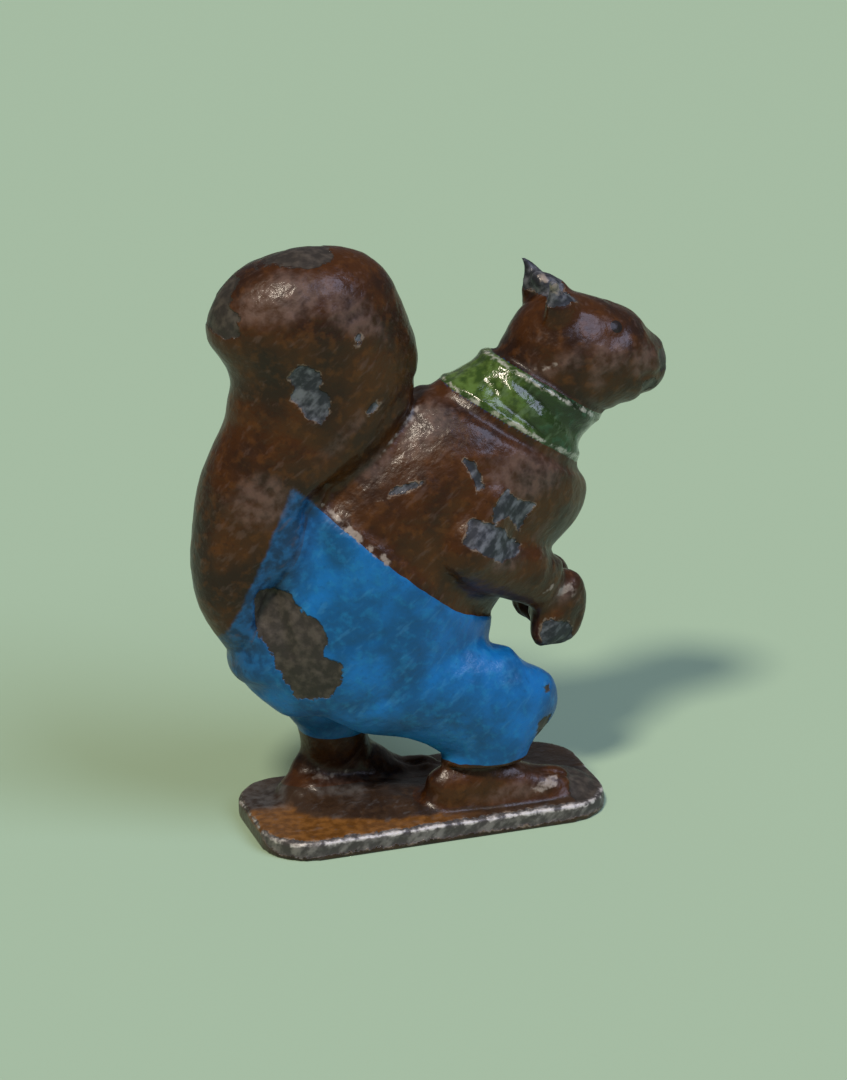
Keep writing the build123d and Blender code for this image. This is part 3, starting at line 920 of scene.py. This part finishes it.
def linear(code):
    """An sRGB hex colour as linear red, green, blue and full opacity."""
    parts = [int(code[k:k + 2], 16) / 255 for k in (1, 3, 5)]
    return tuple(c / 12.92 if c <= 0.04045 else ((c + 0.055) / 1.055) ** 2.4 for c in parts) + (1.0,)


def fill(node, inputs):
    """Fills a node's inputs, each with a number, an sRGB code or another node's output."""
    for name, value in inputs.items():
        if isinstance(value, bpy.types.NodeSocket):
            node.id_data.links.new(value, node.inputs[name])
        else:
            node.inputs[name].default_value = linear(value) if isinstance(value, str) else value


def add(tree, kind, inputs, output=0, **settings):
    """Adds a node with its settings and links, and gives its output."""
    node = tree.nodes.new(kind)
    for name, value in settings.items():
        setattr(node, name, value)
    fill(node, inputs)
    return node.outputs[output]


def per(size):
    """A texture's scale for a pattern of that size in millimetres."""
    return 1 / (size * mm)


def enamel_values(tree, paint_roughness):
    """The patterns, the levels of the skin and what follows from them, by name."""
    where = add(tree, "ShaderNodeTexCoord", {}, "Object")
    turned = add(tree, "ShaderNodeMapping", {"Vector": where, "Rotation": (0, stroke_lean, 0)})
    along = add(tree, "ShaderNodeMapping", {"Vector": turned, "Scale": (stroke_stretch, 1, 1)})
    values = {"paint_roughness": paint_roughness}
    for name in level_names:
        values[name] = add(tree, "ShaderNodeAttribute", {}, "Fac", attribute_name=name)
    for name, (size, detail) in patterns.items():
        inputs = {"Vector": along if name == "strokes" else where, "Scale": per(size), "Detail": detail}
        values[name] = add(tree, "ShaderNodeTexNoise", inputs)
    for name, (kind, *given) in steps.items():
        given = [values[part] if isinstance(part, str) else part for part in given]
        if kind == "FADE":
            inputs = dict(zip(("Value", "From Min", "From Max", "To Max"), given))
            values[name] = add(tree, "ShaderNodeMapRange", inputs, interpolation_type="SMOOTHSTEP")
        else:
            values[name] = add(tree, "ShaderNodeMath", dict(enumerate(given)), operation=kind)
    return values


def enamel_on_lead(
    name, coats, roughness, gloss, shine,
    hollow_shade=hollow_shade_brown, patch=blue_tones, lead=lead_tones, edge=worn_and_highlit_edge,
):
    """Brushed enamel over cast lead: a pigment that varies with the brush, painted shade darkening the
    creases, a pale broken rim round each chip, pale worn edges with painted highlights on them, and
    the grey metal in the chips, scratched and duller than the paint."""
    material = bpy.data.materials.new(name)
    material.use_nodes = True
    tree = material.node_tree
    values = enamel_values(tree, roughness)

    # What each blend makes, where it shows, what lies under and what is brushed over it
    dark, middle, light, worn = coats
    blends = [
        ("patch_paint", "patch_specks", *patch),
        ("tarnished_lead", "tarnish_specks", *tarnish_tones),
        ("scratched_lead", "scratches", *lead),
        ("paint", "middle_coat", dark, middle),
        ("paint", "light_specks", "paint", light),
        ("paint", "dark_grit", "paint", dark),
        # The patch: the blue strip on the tail, and painted light on the slab and the neckerchief's back
        ("paint", "patch", "paint", "patch_paint"),
        ("paint", "thin_paint", "paint", worn),
        ("paint", "dry_strokes", "paint", worn),
        ("paint", "high_places", "paint", worn),
        # Painted shade in the hollows
        ("paint", "shaded_hollows", "paint", hollow_shade),
        ("paint", "broken_rims", "paint", rim_dust),
        ("surface", "tarnish", "paint", "tarnished_lead"),
        ("surface", "chips", "surface", "scratched_lead"),
        # Pale lines: worn edges with painted highlights on them
        ("surface", "broken_pale_lines", "surface", edge),
    ]
    made = {}
    for blend, share, under, over in blends:
        colours = {mix_under: made.get(under, under), mix_over: made.get(over, over)}
        inputs = {mix_share: values[share], **colours}
        made[blend] = add(tree, "ShaderNodeMix", inputs, mix_result, data_type="RGBA")
    relief = {"Height": values["relief"], "Strength": relief_strength, "Distance": paint_relief}
    bump = add(tree, "ShaderNodeBump", relief)
    fill(tree.nodes["Principled BSDF"], {
        "Base Color": made["surface"],
        "Metallic": values["metal"],
        "Roughness": values["roughness"],
        "Specular IOR Level": shine,
        "Coat Weight": gloss,
        "Coat Roughness": coat_roughness,
        "Normal": bump,
        "Coat Normal": bump,
    })
    return material


materials = {
    # Oil enamel laid on with a small brush: warm red brown, streaky, greyed where rubbed, softly glossy
    "brown_enamel": enamel_on_lead(
        "brushed_brown_enamel_on_cast_lead",
        ("#251104", "#3F2002", "#5C350D", "#69544C"),
        roughness=0.29, gloss=0.15, shine=0.30,
    ),
    # The same kind of paint in blue, laid thinner: bright and even, with paler streaks along the brush
    "blue_enamel": enamel_on_lead(
        "brushed_blue_enamel_on_cast_lead",
        ("#094E7E", "#0F68AA", "#1B79AA", "#3C86B5"),
        roughness=0.32, gloss=0.12, shine=0.30, hollow_shade="#0C2233",
    ),
    # A thick glossy coat pooled in the folds: small sharp glints, bottle green, with lighter moss green
    # painted behind as warm light falling there, and pale worn rims with painted highlights
    "green_enamel": enamel_on_lead(
        "brushed_green_enamel_on_cast_lead",
        ("#121F0A", "#223713", "#2F6046", "#76906C"),
        roughness=0.11, gloss=0.45, shine=0.30,
        hollow_shade="#0B1206", patch=("#37501A", "#617B32"), edge="#A9A99C",
    ),
    # Brown brushed thinly over the slab: dull grey brown, darkened as painted shade of the figure, ochre
    # painted in one corner as the part in light, and a lighter grey metal rim with a painted highlight on
    # it
    "base_enamel": enamel_on_lead(
        "brushed_slab_enamel_on_cast_lead",
        ("#251910", "#38281B", "#4A3624", "#5F6060"),
        roughness=0.26, gloss=0.20, shine=0.25,
        patch=("#5E3C17", "#7A5124"), lead=("#474341", "#7C7773"), edge="#C9C4BE",
    ),
    # A touch of near-black from the brush's tip: a flat dark dot without a glint
    "dark_enamel": enamel_on_lead(
        "dotted_dark_enamel_on_cast_lead",
        ("#110C0A", "#1C1512", "#281E19", "#33302E"),
        roughness=0.34, gloss=0.08, shine=0.30,
    ),
}

# The step down from the paint to the metal in chips
paint_thickness = 0.06
paint_edge = (-0.05, 0.15)

# The casting and its pieces
points, squares, edges = softened_clay()
solids_at_points = nearest_solid(points)
names = parted(points, squares, nearest_solid(points[squares].mean(1)))
points = pushed(points)
normals = outward(points, squares)
points = points + normals * sculpted(points, edges, solids_at_points)[:, None]
points = soften(points, edges, np.full(len(points), last_softness), 1)
normals = outward(points, squares)
levels = painted_levels(points, edges, normals, solids_at_points)
chipped = np.maximum(levels["bare"], levels["tarnished"])
points = points - normals * (paint_thickness * smooth_step(chipped, *paint_edge))[:, None]
points = smooth_borders(points, squares, names)
points = np.clip(points, np.array(cad_lowest) / mm, np.array(cad_highest) / mm)
normals = outward(points, squares)

for solid in sorted(frame["nodes"]):
    own = squares[names == solid]
    if len(own) == 0:
        raise RuntimeError(f"no skin was left for {solid}")
    piece = closed_piece(painted_names[solid], points, own, normals, levels)
    piece.data.materials.append(materials[slots[solid]])
    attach(piece, "root")
    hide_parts(solid)


# Floor, lamps and camera
floor_half = 2500 * mm
floor_green = "#A7C1A5"
room_colour = "#E4E8EC"
room_strength = 0.18
camera_azimuth = math.radians(-19.2)
camera_elevation = math.radians(20.7)
camera_distance = 220 * mm
camera_target = Vector((0.1, 0, 18.3)) * mm
camera_lens = 118.07
camera_nearest = 10 * mm
sensor_width = 36


def toward(azimuth, elevation):
    """The direction to a lamp or the camera; azimuth 0 faces the right side, 90 the figure's front."""
    return Vector((
        math.sin(azimuth) * math.cos(elevation),
        -math.cos(azimuth) * math.cos(elevation),
        math.sin(elevation),
    ))


def plain_floor():
    """A wide pale green sheet."""
    mesh = bpy.data.meshes.new("floor")
    corners = [(-1, -1, 0), (1, -1, 0), (1, 1, 0), (-1, 1, 0)]
    mesh.from_pydata([tuple(floor_half * c for c in corner) for corner in corners], [], [(0, 1, 2, 3)])
    floor = bpy.data.objects.new("floor", mesh)
    bpy.context.scene.collection.objects.link(floor)
    # Uncoated dyed paper: one even green without a sheen
    paper = bpy.data.materials.new("matt_green_paper")
    paper.use_nodes = True
    surface = {"Base Color": floor_green, "Roughness": 0.9, "Specular IOR Level": 0.1}
    fill(paper.node_tree.nodes["Principled BSDF"], surface)
    mesh.materials.append(paper)


def sun(name, strength, azimuth, elevation, softness, colour):
    """A distant lamp; its angles and its softness are in degrees."""
    lamp = bpy.data.lights.new(name, "SUN")
    lamp.energy = strength
    lamp.angle = math.radians(softness)
    lamp.color = linear(colour)[:3]
    held = bpy.data.objects.new(name, lamp)
    held.rotation_mode = "QUATERNION"
    direction = toward(math.radians(azimuth), math.radians(elevation))
    held.rotation_quaternion = direction.to_track_quat("Z", "Y")
    bpy.context.scene.collection.objects.link(held)


def plain_world():
    """Even pale light from all round."""
    world = bpy.data.worlds.new("pale_room")
    world.use_nodes = True
    fill(world.node_tree.nodes["Background"], {"Color": room_colour, "Strength": room_strength})
    bpy.context.scene.world = world


def photograph_camera():
    """The camera at the photograph's viewing angle."""
    data = bpy.data.cameras.new("camera")
    data.sensor_width = sensor_width
    data.lens = camera_lens
    data.clip_start = camera_nearest
    data.clip_end = 2 * floor_half
    camera = bpy.data.objects.new("camera", data)
    back = toward(camera_azimuth, camera_elevation)
    camera.location = camera_target + camera_distance * back
    camera.rotation_mode = "QUATERNION"
    camera.rotation_quaternion = (-back).to_track_quat("-Z", "Y")
    bpy.context.scene.collection.objects.link(camera)
    bpy.context.scene.camera = camera


plain_floor()
plain_world()
sun("warm_key", strength=2.3, azimuth=-42, elevation=54, softness=9, colour="#FFF1DE")
sun("cool_window", strength=1.7, azimuth=38, elevation=46, softness=36, colour="#D2DCFF")
photograph_camera()
bpy.context.scene.view_settings.view_transform = "Standard"
